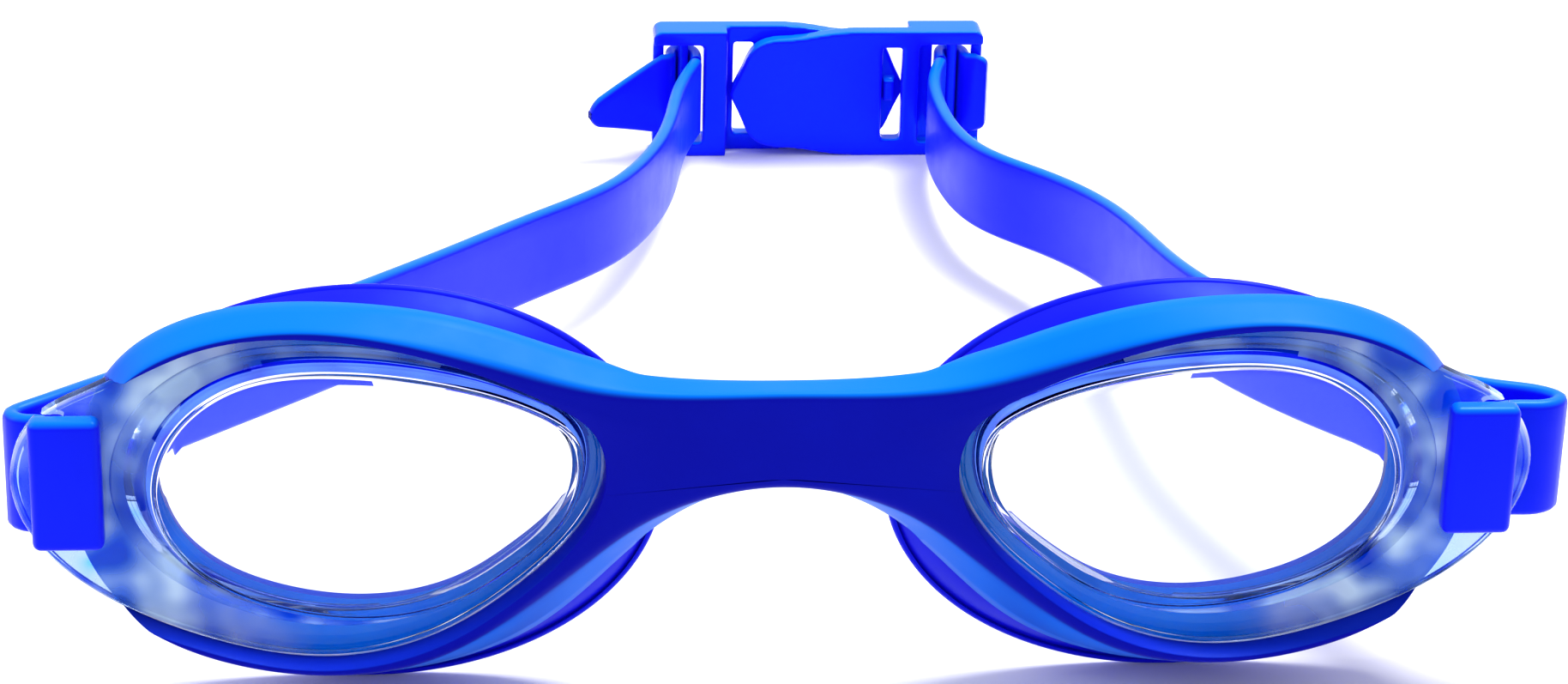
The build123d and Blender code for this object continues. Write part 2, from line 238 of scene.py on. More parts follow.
def shade(piece, sharp_angle):
    """Smooth shading that stays crisp on edges sharper than the angle."""
    mesh = piece.data
    mesh.polygons.foreach_set("use_smooth", [True] * len(mesh.polygons))
    mesh.set_sharp_from_angle(angle=math.radians(sharp_angle))
    mesh.update()


def ring_faces(rings, count, close_rings=False):
    """Quads between successive rings of points, and from the last ring to the first if asked."""
    faces = []
    last = rings if close_rings else rings - 1
    for ring in range(last):
        here, there = ring * count, (ring + 1) % rings * count
        for i in range(count):
            j = (i + 1) % count
            faces.append((here + i, here + j, there + j, there + i))
    return faces


def apply_modifiers(piece):
    """Give the piece the mesh that its modifiers make."""
    depsgraph = bpy.context.evaluated_depsgraph_get()
    mesh = bpy.data.meshes.new_from_object(piece.evaluated_get(depsgraph))
    piece.modifiers.clear()
    old = piece.data
    piece.data = mesh
    bpy.data.meshes.remove(old)
    mesh.name = piece.name


def finish_piece(piece, body, slot, *nodes):
    """Ride on a body in place of the CAD nodes; the slot is not used."""
    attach(piece, body)
    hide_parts(*nodes)


# ======================================================================================
# Materials
# ======================================================================================

# Painted light: this azure stands in for top light on up-facing surfaces and for the table's reflection
# under the nose.
PAINTED_LIGHT_AZURE = (0.0, 0.17, 0.90)
FRAME_BLUE = (0.004, 0.002, 0.34)
CLEAR = (0.93, 0.95, 1.0)
GLOSS_TINT, SHEEN_TINT, LENS_GLOSS_TINT = (0.02, 0.5, 1.0), (0.0, 0.35, 1.0), (0.35, 0.62, 1.0)
SHEEN_ROUGHNESS = 0.35
LENS_IOR = 1.5
CLOUD_GREEN, CLOUD_BLUE = 1.6, 1.12  # how much more green and blue the paler clouds hold
ROUGH_SPREAD = 0.04

# Sizes of the patterns, as repeats in a metre.
CLOUD_SCALE, GRAIN_SCALE, SKIN_SCALE = 70, 240, 900
PATCH_SCALE, HAIRLINE_SCALE, WAVE_SCALE, TABLE_SCALE = 170, 300, 120, 8
NOISE_LOW, NOISE_HIGH = 0.3, 0.7     # the middle of the noise is spread over the whole range
BUMP_DEPTH = 0.00003
SKIN_BUMP, WAVE_BUMP = 0.05, 0.04

# Where painted light comes in: painted top light facing up, painted table reflection facing down to the
# nose.
UP_FACING = (0.25, 0.98)
UNDER_FACING = (0.56, 0.70)
NOSEWARD, DOWNWARD = -0.8, -0.6
EVERYWHERE = (0, 1)                  # a fade that ends before the lens begins


def new_material(name):
    """Material and its Principled shader."""
    material = bpy.data.materials.new(name)
    material.use_nodes = True
    return material, material.node_tree.nodes["Principled BSDF"]


def add_node(material, kind, **values):
    """A node with the given input values."""
    node = material.node_tree.nodes.new(kind)
    for key, value in values.items():
        node.inputs[key.replace("_", " ")].default_value = value
    return node


def link(material, source, target):
    """Wire an output to an input."""
    material.node_tree.links.new(source, target)


def mottle(material, scale, detail, low, high):
    """Noise in object space, spread between two values; returns its output."""
    coordinates = add_node(material, "ShaderNodeTexCoord")
    noise = add_node(material, "ShaderNodeTexNoise", Scale=scale, Detail=detail)
    spread = add_node(
        material, "ShaderNodeMapRange", From_Min=NOISE_LOW, From_Max=NOISE_HIGH, To_Min=low, To_Max=high,
    )
    link(material, coordinates.outputs["Object"], noise.inputs["Vector"])
    link(material, noise.outputs["Fac"], spread.inputs["Value"])
    return spread.outputs["Result"]


def mix_colours(material, share, first, second):
    """Blend of two colours, each an output or plain red, green and blue."""
    mix = add_node(material, "ShaderNodeMix")
    mix.data_type = "RGBA"
    link(material, share, mix.inputs["Factor"])
    for key, colour in (("A", first), ("B", second)):
        if isinstance(colour, tuple):
            mix.inputs[key].default_value = (*colour, 1)
        else:
            link(material, colour, mix.inputs[key])
    return mix.outputs["Result"]


def calculate(material, operation, *values):
    """Result of a maths node on outputs or plain numbers."""
    node = add_node(material, "ShaderNodeMath")
    node.operation = operation
    for socket, value in zip(node.inputs, values):
        if isinstance(value, (int, float)):
            socket.default_value = value
        else:
            link(material, value, socket)
    return node.outputs["Value"]


def smooth_step(material, value, low, high, top):
    """The value eased from 0 at the low end to the top at the high end."""
    node = add_node(material, "ShaderNodeMapRange", From_Min=low, From_Max=high, To_Max=top)
    node.interpolation_type = "SMOOTHSTEP"
    link(material, value, node.inputs["Value"])
    return node.outputs["Result"]


def axes(material, kind):
    """X, Y and Z of the surface's place ("Object") or facing ("Normal"), in the piece's own space."""
    coordinates = add_node(material, "ShaderNodeTexCoord")
    split = add_node(material, "ShaderNodeSeparateXYZ")
    link(material, coordinates.outputs[kind], split.inputs["Vector"])
    return split.outputs


def painted_light_share(material, painted_top_light, painted_under_reflection):
    """Share of painted light: painted top light facing up, painted table reflection facing down to the
    nose.
    """
    facing = axes(material, "Normal")
    side = calculate(material, "SIGN", axes(material, "Object")["X"])
    outward = calculate(material, "MULTIPLY", side, facing["X"])
    noseward = calculate(material, "MULTIPLY", outward, NOSEWARD)
    downward = calculate(material, "MULTIPLY", facing["Z"], DOWNWARD)
    under = calculate(material, "ADD", noseward, downward)
    above = smooth_step(material, facing["Z"], *UP_FACING, painted_top_light)
    below = smooth_step(material, under, *UNDER_FACING, painted_under_reflection)
    return calculate(material, "MAXIMUM", above, below)


def add_bump(material, shader, height, strength):
    """Surface bump from a height output."""
    bump = add_node(material, "ShaderNodeBump", Strength=strength, Distance=BUMP_DEPTH)
    link(material, height, bump.inputs["Height"])
    link(material, bump.outputs["Normal"], shader.inputs["Normal"])


def blue_moulding(name, deep, rough, gloss, painted_light_colour=PAINTED_LIGHT_AZURE, painted_top_light=0.0, painted_under_reflection=0.0, sheen=0.0):
    """Moulded blue silicone or plastic: a deep cloudy blue with painted light, a brighter colour where it
    faces up and a painted table reflection where it faces down to the nose, with a fine skin and a tinted
    gloss."""
    material, shader = new_material(name)
    cloudy = (deep[0], deep[1] * CLOUD_GREEN, deep[2] * CLOUD_BLUE)
    clouds = mix_colours(material, mottle(material, CLOUD_SCALE, 3, 0, 1), deep, cloudy)
    # Painted light: painted top light and painted table reflection mixed into the colour by facing.
    share = painted_light_share(material, painted_top_light, painted_under_reflection)
    link(material, mix_colours(material, share, clouds, painted_light_colour), shader.inputs["Base Color"])
    grain = mottle(material, GRAIN_SCALE, 4, rough - ROUGH_SPREAD, rough + ROUGH_SPREAD)
    link(material, grain, shader.inputs["Roughness"])
    shader.inputs["Specular Tint"].default_value = (*GLOSS_TINT, 1)
    shader.inputs["Specular IOR Level"].default_value = gloss
    shader.inputs["Sheen Weight"].default_value = sheen
    shader.inputs["Sheen Roughness"].default_value = SHEEN_ROUGHNESS
    shader.inputs["Sheen Tint"].default_value = (*SHEEN_TINT, 1)
    add_bump(material, shader, mottle(material, SKIN_SCALE, 2, 0, 1), SKIN_BUMP)
    return material


def let_lamps_through(material, shader):
    """Shadow rays pass straight through the plastic."""
    nodes = material.node_tree.nodes
    through = add_node(material, "ShaderNodeBsdfTransparent", Color=(*CLEAR, 1))
    path = add_node(material, "ShaderNodeLightPath")
    either = add_node(material, "ShaderNodeMixShader")
    link(material, path.outputs["Is Shadow Ray"], either.inputs["Fac"])
    link(material, shader.outputs["BSDF"], either.inputs[1])
    link(material, through.outputs["BSDF"], either.inputs[2])
    link(material, either.outputs["Shader"], nodes["Material Output"].inputs["Surface"])


def clear_plastic(name):
    """Polished clear polycarbonate with faint hairline marks."""
    material, shader = new_material(name)
    shader.inputs["Base Color"].default_value = (*CLEAR, 1)
    shader.inputs["Transmission Weight"].default_value = 1.0
    shader.inputs["IOR"].default_value = LENS_IOR
    shader.inputs["Specular Tint"].default_value = (*LENS_GLOSS_TINT, 1)
    link(material, mottle(material, HAIRLINE_SCALE, 3, 0.0, 0.03), shader.inputs["Roughness"])
    add_bump(material, shader, mottle(material, WAVE_SCALE, 2, 0, 1), WAVE_BUMP)
    let_lamps_through(material, shader)
    return material


def painted_reflection_plastic(name, dark, pale, pale_clear, fade=EVERYWHERE):
    """Clear plastic with painted reflections: clouds of two tints that stand in for the blue rubber seen
    through it and for pale reflections.  The pale tint stays clear by the given share, and both fade in
    between two distances from the nose."""
    material = clear_plastic(name)
    shader = material.node_tree.nodes["Principled BSDF"]
    patches = mottle(material, PATCH_SCALE, 1, 0, 1)
    from_nose = calculate(material, "ABSOLUTE", axes(material, "Object")["X"])
    spread = smooth_step(material, from_nose, fade[0] * MM, fade[1] * MM, 1.0)
    tint = mix_colours(material, patches, dark, pale)
    link(material, mix_colours(material, spread, CLEAR, tint), shader.inputs["Base Color"])
    painted_reflection_amount = calculate(material, "MULTIPLY", patches, spread)
    painted_reflection_cover = calculate(material, "MULTIPLY", painted_reflection_amount, 1.0 - pale_clear)
    link(material, calculate(material, "SUBTRACT", 1.0, painted_reflection_cover), shader.inputs["Transmission Weight"])
    return material


# Painted light in the blue mouldings: painted top light where they face up, and on the frame rubber a
# painted table reflection.
MATERIALS = {
    "frame_rubber": blue_moulding(
        "frame_rubber", FRAME_BLUE, rough=0.40, gloss=0.08, painted_top_light=1.0, painted_under_reflection=0.75, sheen=0.05,
    ),
    # Painted light: the seat floor is a brighter blue than the rest of the frame rubber.
    "frame_seat_painted_light": blue_moulding("frame_seat_painted_light", (0.0, 0.15, 0.95), rough=0.40, gloss=0.05),
    # Painted shade: the walls facing the lens keep the deep blue with little painted top light.
    "frame_wall_shaded": blue_moulding("frame_wall_shaded", FRAME_BLUE, rough=0.40, gloss=0.05, painted_top_light=0.1),
    # The seal's painted top light is a brighter blue than its own deep blue.
    "seal_rubber": blue_moulding(
        "seal_rubber", (0.006, 0.002, 0.66), rough=0.40, gloss=0.15, painted_light_colour=(0.006, 0.006, 0.85),
        painted_top_light=0.8, sheen=0.05,
    ),
    "strap_rubber": blue_moulding(
        "strap_rubber", (0.006, 0.003, 0.85), rough=0.32, gloss=0.25, painted_top_light=0.9, sheen=0.1,
    ),
    "clasp_plastic": blue_moulding(
        "clasp_plastic", (0.006, 0.004, 0.90), rough=0.20, gloss=0.35, painted_top_light=0.85,
    ),
    "clear_lens": clear_plastic("clear_lens"),
    # Painted reflections on the lenses: blue and pale clouds standing in for the rubber seen through
    # them, and a painted highlight round the flange.
    "lens_edge_painted": painted_reflection_plastic("lens_edge_painted", (0.004, 0.006, 0.30), (0.01, 0.06, 0.75), 1.0),
    "lens_side_painted": painted_reflection_plastic("lens_side_painted", (0.01, 0.14, 0.85), (0.60, 0.82, 1.0), 0.35),
    "lens_ear_painted": painted_reflection_plastic("lens_ear_painted", (0.02, 0.22, 0.95), (0.66, 0.86, 1.0), 0.15, (48, 66)),
    "lens_rim_highlight": painted_reflection_plastic("lens_rim_highlight", (0.55, 0.75, 1.0), (0.95, 0.98, 1.0), 0.1),
}


# ======================================================================================
# Eye frame
# ======================================================================================

OUTLINE_SAMPLES = 4000
RIM_POINTS = 300                     # points round the open stretch of one rim
BRIDGE_CUT_POINTS = 14               # points across the middle of the bridge
FRAME_AROUND = RIM_POINTS + BRIDGE_CUT_POINTS
FRAME_CREASE = 1.0                   # width of the soft crease between front and sloping sides
CREASE_SHARE = 0.22                  # how far down the slope the crease reaches
REAR_ROUND, LIP_BEVEL, HOLE_BEVEL = 0.5, 0.12, 0.25
LIP_BEVEL_SHARE, CREASE_LIP_SHARE = 0.3, 0.45   # most of a narrow lip that each may take
THIN_SLOPE = 0.05                    # least width of the slope in front view
FLOOR_WITHIN, INWARD_FACING = 0.02, 0.3
RIM_CENTRE = np.array([RIM_X, RIM_Z])
FLOOR_Y = FLANGE_REAR_Y + SEAT_GAP   # floor of the seat that the lens flange sits in


def half_frame_loop(outline):
    """One rim's share of the frame outline, from the bridge's top round to its bottom, then the cut."""
    whole = outline + [(-x, z) for x, z in reversed(outline[1:-1])]
    dense = smooth_curve(whole, OUTLINE_SAMPLES, closed=True)
    rim = dense[:len(dense) // 2 + 1]
    rim = rim[rim[:, 0] >= 0]
    rim[0, 0] = rim[-1, 0] = 0.0
    along = np.concatenate([[0], np.cumsum(np.linalg.norm(np.diff(rim, axis=0), axis=1))])
    wanted = np.linspace(0, along[-1], RIM_POINTS)
    return with_cut(np.stack([np.interp(wanted, along, rim[:, k]) for k in (0, 1)], axis=1))


def with_cut(rim):
    """The rim's open stretch closed by points across the middle of the bridge."""
    cut_z = np.linspace(rim[-1, 1], rim[0, 1], BRIDGE_CUT_POINTS + 2)[1:-1]
    return np.vstack([rim, np.stack([np.zeros_like(cut_z), cut_z], axis=1)])


def inset_loop(loop, amount):
    """The loop moved inwards by the amount along its open stretch."""
    rim = loop[:RIM_POINTS]
    ahead = np.gradient(rim, axis=0)
    ahead[0], ahead[-1] = (1, 0), (-1, 0)
    normal = np.stack([-ahead[:, 1], ahead[:, 0]], axis=1)
    normal /= np.linalg.norm(normal, axis=1, keepdims=True)
    amount = np.broadcast_to(amount, FRAME_AROUND)[:RIM_POINTS, None]
    moved = rim - normal * amount
    moved[0, 0] = moved[-1, 0] = 0.0
    return with_cut(np.maximum(moved, [0.0, -np.inf]))


def back_depth(x):
    """The back of the frame is further forward across the thinner nose bridge."""
    t = np.clip((x - BRIDGE_INNER_X) / (BRIDGE_OUTER_X - BRIDGE_INNER_X), 0, 1)
    return BRIDGE_REAR_Y + (RIM_REAR_Y - BRIDGE_REAR_Y) * t * t * (3 - 2 * t)


def frame_ring(xz, y):
    """Ring of points at the given x and z, and one y or a y for each."""
    return np.column_stack([xz[:, 0], np.broadcast_to(y, len(xz)), xz[:, 1]])


def seat_rings(away, seat, wall_top, lip_room):
    """Rings up the wall of the lens seat and over its bevelled lip."""
    bevel = np.minimum(LIP_BEVEL, lip_room * LIP_BEVEL_SHARE)
    rings = [frame_ring(seat, FLOOR_Y), frame_ring(seat, np.minimum(wall_top + LIP_BEVEL, FLOOR_Y))]
    for share in (0.3, 1.0):
        lip_y = np.minimum(wall_top + LIP_BEVEL * (1 - share) ** 2, FLOOR_Y)
        rings.append(frame_ring(seat + away * (bevel * share)[:, None], lip_y))
    return rings


def face_rings(lip, on_slope, lip_room):
    """Rings from the seat's lip over the flat front, round the crease and down the sloping side."""
    front_xz, front_y = on_slope(0.0)
    crease_xz, crease_y = on_slope(CREASE_SHARE)
    flat_end = inset_loop(FRONT_LOOP, np.minimum(FRAME_CREASE, lip_room * CREASE_LIP_SHARE))
    flat_end = np.where((lip_room > 0)[:, None], flat_end, front_xz)
    lip_xz, lip_y = lip[:, [0, 2]], lip[:, 1]
    rings = []
    for share in (0.35, 0.7, 1.0):
        xz = lip_xz * (1 - share) + flat_end * share
        rings.append(frame_ring(xz, lip_y * (1 - share) + front_y * share))
    for t in (0.2, 0.4, 0.6, 0.8, 1.0):
        near, middle, far = (1 - t) ** 2, 2 * t * (1 - t), t * t
        xz = near * flat_end + middle * front_xz + far * crease_xz
        rings.append(frame_ring(xz, (near + middle) * front_y + far * crease_y))
    for share in (0.4, 0.6, 0.8, 1.0):
        rings.append(frame_ring(*on_slope(share)))
    return rings


def back_rings(edge, depth, away, hole_reach, seat):
    """Rings round the rear edge, across the back, through the hole and out along the seat's floor."""
    rings = []
    for turn in (0.0, 30.0, 60.0, 90.0):
        a = math.radians(turn)
        xz = inset_loop(edge, REAR_ROUND * (1 - math.cos(a)))
        rings.append(frame_ring(xz, depth - REAR_ROUND * (1 - math.sin(a))))
    back_xz = rings[-1][:, [0, 2]]
    hole = RIM_CENTRE + away * hole_reach[:, None]
    for share in (0.08, 0.25, 0.5, 0.75, 1.0):
        xz = back_xz * (1 - share) + (hole + away * HOLE_BEVEL) * share
        rings.append(frame_ring(xz, back_depth(xz[:, 0])))
    rings.append(frame_ring(hole, back_depth(hole[:, 0]) - HOLE_BEVEL))
    rings.append(frame_ring(hole, FLOOR_Y))
    rings.append(frame_ring((hole + seat) / 2, FLOOR_Y))
    return rings


FRONT_LOOP = half_frame_loop(FRAME_FRONT_OUTLINE)
REAR_LOOP = half_frame_loop(FRAME_REAR_OUTLINE)


def frame_half_rings():
    """Rings of points round one rim, from the lens seat over the front and the back to the seat again."""
    depth = back_depth(FRONT_LOOP[:, 0])
    arm = FRONT_LOOP - RIM_CENTRE
    angle = np.arctan2(arm[:, 1], arm[:, 0])
    away = np.stack([np.cos(angle), np.sin(angle)], axis=1)
    seat_reach = ray_reach(grown(FLANGE_OUTLINE, SEAT_GAP), angle)
    hole_reach = ray_reach(grown(WINDOW_OUTLINE, CUP_HOLE_MARGIN), angle)
    front_reach = np.linalg.norm(arm, axis=1)
    rear_reach = np.linalg.norm(REAR_LOOP - RIM_CENTRE, axis=1)

    # The seat's wall ends on the front face, on the sloping side, or (at the temple) is missing.
    slope_width = np.maximum(rear_reach - front_reach, THIN_SLOPE)
    beyond = np.clip((seat_reach - front_reach) / slope_width, 0, 1)
    slope_depth = FRAME_SLOPE_Y - FRAME_FRONT_Y
    wall_top = np.where(seat_reach < rear_reach, FRAME_FRONT_Y + beyond * slope_depth, FLOOR_Y)
    seat = RIM_CENTRE + away * np.minimum(seat_reach, rear_reach)[:, None]
    lip_room = np.maximum(front_reach - seat_reach, 0)

    slope_end_y = np.minimum(FRAME_SLOPE_Y, depth - REAR_ROUND)
    slope_share = ((slope_end_y - FRAME_FRONT_Y) / slope_depth)[:, None]
    edge = FRONT_LOOP * (1 - slope_share) + REAR_LOOP * slope_share

    def on_slope(share):
        """Points on the sloping side, a share of the way back, kept outside the lens seat."""
        spot = FRONT_LOOP * (1 - share) + edge * share
        inside = np.linalg.norm(spot - RIM_CENTRE, axis=1) < seat_reach
        y = FRAME_FRONT_Y + share * (slope_end_y - FRAME_FRONT_Y)
        y = np.where(inside, np.maximum(wall_top, y), y)
        return np.where(inside[:, None], seat, spot), np.minimum(y, FLOOR_Y)

    rings = seat_rings(away, seat, wall_top, lip_room)
    rings += face_rings(rings[-1], on_slope, lip_room)
    return rings + back_rings(edge, depth, away, hole_reach, seat)


def paint_seat_light_and_shade(piece):
    """Painted light, a brighter blue, on the lens seats' floor; painted shade, deep blue, on walls facing
    the lens.
    """
    piece.data.materials.append(MATERIALS["frame_seat_painted_light"])
    piece.data.materials.append(MATERIALS["frame_wall_shaded"])
    floor = place([[0, FLOOR_Y, 0]])[0][1]
    for polygon in piece.data.polygons:
        inwards = RIM_X * MM - abs(polygon.center.x), RIM_Z * MM - polygon.center.z
        facing = math.copysign(polygon.normal.x, polygon.normal.x * polygon.center.x)
        towards_lens = facing * inwards[0] + polygon.normal.z * inwards[1]
        # Painted light on the seat floor; painted shade on the walls facing the lens.
        if abs(polygon.center.y - floor) < FLOOR_WITHIN * MM:
            polygon.material_index = 1
        elif towards_lens > INWARD_FACING * math.hypot(*inwards):
            polygon.material_index = 2


def make_eye_frame():
    """Both rims and the nose bridge as one soft moulding."""
    rings = frame_half_rings()
    points = np.vstack(rings)
    faces = []
    for face in ring_faces(len(rings), FRAME_AROUND, close_rings=True):
        if not all(abs(points[i, 0]) < 1e-6 for i in face):
            faces.append(face)
    both = np.vstack([points, points * np.array([-1, 1, 1])])
    other = [tuple(i + len(points) for i in reversed(face)) for face in faces]
    piece = make_object("goggle_eye_frame", both, faces + other, MATERIALS["frame_rubber"], 50)
    paint_seat_light_and_shade(piece)
    finish_piece(piece, "eyepiece", "frame_rubber", "eye_frame")


# ======================================================================================
# Lenses
# ======================================================================================

LENS_AROUND = 220
EDGE_BAND = 0.8                      # width of the painted deep blue band beside the window, standing in for the rubber seen through it
RIM_HIGHLIGHT_WIDTH = 0.3                       # width of the painted highlight round the flange
LENS_ANGLES = np.linspace(-math.pi, math.pi, LENS_AROUND, endpoint=False)
WALL_LEAST, FLANGE_LEAST = 0.5, 0.45 # least widths of the wall and flange in front view
EDGE_ROUND = 0.16
RIDGE_WIDTH, RIDGE_HEIGHT = 0.9, 0.14
INNER_INSET = 1.3                    # how far inside the window's outline the inner face ends
INNER_FOOT_INSET = 0.9
SLOT_ROUND, CUTTER_SPARE = 0.7, 2
FRONT_FACE_DEPTH = 0.5               # polygons nearer the front than this get the painted reflections

# The groove round the window: distance inside the window's outline, then depth behind its front.
WINDOW_STEPS = [
    (0.75, 0.0), (0.66, 0.04), (0.58, 0.20), (0.46, 0.20), (0.38, 0.04), (0.28, 0.0), (0.10, 0.03),
    (0.0, EDGE_ROUND),
]
# The side wall: share of the way out to its foot, then share of the way back to the flange.
WALL_PROFILE = [
    (0.05, 0.20), (0.13, 0.42), (0.26, 0.62), (0.44, 0.78), (0.66, 0.90), (0.84, 0.95), (0.92, 0.92),
    (0.97, 0.94), (1.0, 1.0),
]
# The inside: share of the way in to the inner face, then share of the way forward to it.
INNER_PROFILE = [(0.25, 0.4), (0.55, 0.75), (0.85, 0.95), (1.0, 1.0)]


def lens_ring(reach, y):
    """Ring of points about the lens rim's middle."""
    return np.column_stack([
        RIM_X + reach * np.cos(LENS_ANGLES),
        np.broadcast_to(y, LENS_AROUND),
        RIM_Z + reach * np.sin(LENS_ANGLES),
    ])


def lens_edges():
    """Distances from the rim's middle to the window's edge, the wall's foot and the flange's edge."""
    window = ray_reach(WINDOW_OUTLINE, LENS_ANGLES)
    flange = ray_reach(FLANGE_OUTLINE, LENS_ANGLES)
    foot = ray_reach(grown(WINDOW_OUTLINE, WALL_SPREAD, WALL_LEAN), LENS_ANGLES)
    return window, foot, flange


def lens_front_rings(window, foot, flange):
    """Rings from the middle of the window out to the flange's rear edge."""
    rings = [lens_ring(window * share, WINDOW_Y) for share in (0.02, 0.3, 0.6, 0.8, 0.92)]
    for inset, drop in WINDOW_STEPS:
        rings.append(lens_ring(window - inset, WINDOW_Y + drop))
    for share, drop in WALL_PROFILE:
        y = WINDOW_Y + (FLANGE_FRONT_Y - WINDOW_Y) * drop
        rings.append(lens_ring(window + (foot - window) * share, y))
    for share in (0.12, 0.3, 0.5):
        rings.append(lens_ring(foot + (flange - foot) * share, FLANGE_FRONT_Y))
    ridge = np.minimum(RIDGE_WIDTH, (flange - foot) * 0.5)
    for share, rise in ((1.0, 0.0), (0.8, RIDGE_HEIGHT), (0.4, RIDGE_HEIGHT)):
        rings.append(lens_ring(flange - ridge * share, FLANGE_FRONT_Y - rise))
    rings.append(lens_ring(flange - RIDGE_HEIGHT, FLANGE_FRONT_Y - 0.04))
    rings.append(lens_ring(flange, FLANGE_FRONT_Y + EDGE_ROUND))
    rings.append(lens_ring(flange, FLANGE_REAR_Y - EDGE_ROUND))
    return rings


def lens_back_rings(window, foot, flange):
    """Rings from the flange's rear edge in to the middle of the window's back."""
    inner_foot = np.clip(foot - WINDOW_THICK, window - INNER_FOOT_INSET, None)
    inner_window = window - INNER_INSET
    inner_y = WINDOW_Y + WINDOW_THICK
    rings = [lens_ring(flange - EDGE_ROUND, FLANGE_REAR_Y)]
    for share in (0.66, 0.33, 0.0):
        rings.append(lens_ring(inner_foot + (flange - inner_foot) * share, FLANGE_REAR_Y))
    for share, rise in INNER_PROFILE:
        y = FLANGE_REAR_Y + (inner_y - FLANGE_REAR_Y) * rise
        rings.append(lens_ring(inner_foot + (inner_window - inner_foot) * share, y))
    for share in (0.96, 0.7, 0.4, 0.02):
        rings.append(lens_ring(inner_window * share, inner_y))
    return rings


def rounded_box(name, low, high, radius, segments=4):
    """Box with rounded edges between two corners, in millimetres."""
    low, high = np.array(low, float), np.array(high, float)
    work = bmesh.new()
    bmesh.ops.create_cube(work, size=1)
    for vert in work.verts:
        spot = (np.array(vert.co) + 0.5) * (high - low) + low
        vert.co = Vector(place(spot[None, :])[0])
    bmesh.ops.bevel(
        work, geom=work.edges[:], offset=radius * MM, segments=segments, profile=0.5, affect="EDGES",
    )
    mesh = bpy.data.meshes.new(name)
    work.to_mesh(mesh)
    work.free()
    piece = bpy.data.objects.new(name, mesh)
    bpy.context.scene.collection.objects.link(piece)
    return piece


def at_angle(angle, reach):
    """One of the lens's edge distances at any angle."""
    return np.interp(angle, LENS_ANGLES, reach, period=2 * math.pi)


def paint_lens_reflections(piece):
    """Painted reflections: deep blue by the window, a painted highlight round the flange, clouds on wall
    and ear.
    """
    window, foot, flange = lens_edges()
    for name in ("lens_edge_painted", "lens_side_painted", "lens_rim_highlight", "lens_ear_painted"):
        piece.data.materials.append(MATERIALS[name])
    edge_index, side_index, rim_index, ear_index = 1, 2, 3, 4
    for polygon in piece.data.polygons:
        x, z = abs(polygon.center.x) / MM - RIM_X, polygon.center.z / MM - RIM_Z
        reach, angle = math.hypot(x, z), math.atan2(z, x)
        beyond = reach - at_angle(angle, window)
        if polygon.center.y / MM - SHIFT_Y > FLANGE_FRONT_Y + FRONT_FACE_DEPTH or beyond < 0:
            continue
        # Painted reflections by place: deep blue beside the window, a painted highlight round the flange,
        # clouds on the wall and ear.
        if beyond < EDGE_BAND:
            polygon.material_index = edge_index
        elif at_angle(angle, flange) - reach < RIM_HIGHLIGHT_WIDTH:
            polygon.material_index = rim_index
        elif reach < at_angle(angle, foot):
            polygon.material_index = side_index
        else:
            polygon.material_index = ear_index


def cut_slot(piece, side):
    """Cut the strap's slot through the ear."""
    half_w, half_h = EAR_SLOT_W / 2, EAR_SLOT_H / 2
    near, far = sorted((side * (EAR_SLOT_X - half_w), side * (EAR_SLOT_X + half_w)))
    cutter = rounded_box(
        "slot_cutter", (near, FLANGE_FRONT_Y - CUTTER_SPARE, EAR_Z - half_h),
        (far, FLANGE_REAR_Y + CUTTER_SPARE, EAR_Z + half_h), SLOT_ROUND,
    )
    cut = piece.modifiers.new("slot", "BOOLEAN")
    cut.operation, cut.solver, cut.object = "DIFFERENCE", "EXACT", cutter
    apply_modifiers(piece)
    bpy.data.objects.remove(cutter)


def make_lens(name, side):
    """Clear lens with a flat window, stepped rim, side wall, flange and slotted ear."""
    window, foot, flange = lens_edges()
    foot = np.clip(foot, window + WALL_LEAST, flange - FLANGE_LEAST)
    rings = lens_front_rings(window, foot, flange) + lens_back_rings(window, foot, flange)
    points = np.vstack(rings) * np.array([side, 1, 1])
    faces = ring_faces(len(rings), LENS_AROUND)
    faces.append(tuple(range(LENS_AROUND)))
    faces.append(tuple(range((len(rings) - 1) * LENS_AROUND, len(rings) * LENS_AROUND)))
    piece = make_object(f"clear_lens_{name}", points, faces, MATERIALS["clear_lens"], 60)
    cut_slot(piece, side)
    shade(piece, 35)
    # Painted reflections and a painted highlight on the lens's front.
    paint_lens_reflections(piece)
    finish_piece(piece, "eyepiece", "clear_lens", f"{name}_lens")


# ======================================================================================
# Face seals
# ======================================================================================

SEAL_AROUND = 180
NECK_ROUND = 0.2
SKIRT_BULGE = 0.12
LIP_EDGE_ROUND = 0.3                 # the lip's free edge is rounded by this
LIP_ROUND = SEAL_LIP_THICK / 2
SEAL_TURN = np.linspace(0, 2 * math.pi, SEAL_AROUND, endpoint=False)


def seal_oval(share, inset, y):
    """Ring between the neck's oval (share 0) and the rear oval (share 1), made smaller by the inset."""
    x = RIM_X + (SEAL_X - RIM_X) * share
    z = RIM_Z + (SEAL_Z - RIM_Z) * share
    half_w = SEAL_NECK_HALF_W + (SEAL_HALF_W - SEAL_NECK_HALF_W) * share - inset
    half_h = SEAL_NECK_HALF_H + (SEAL_HALF_H - SEAL_NECK_HALF_H) * share - inset
    return np.column_stack([
        x + half_w * np.cos(SEAL_TURN), np.full(SEAL_AROUND, y), z + half_h * np.sin(SEAL_TURN),
    ])


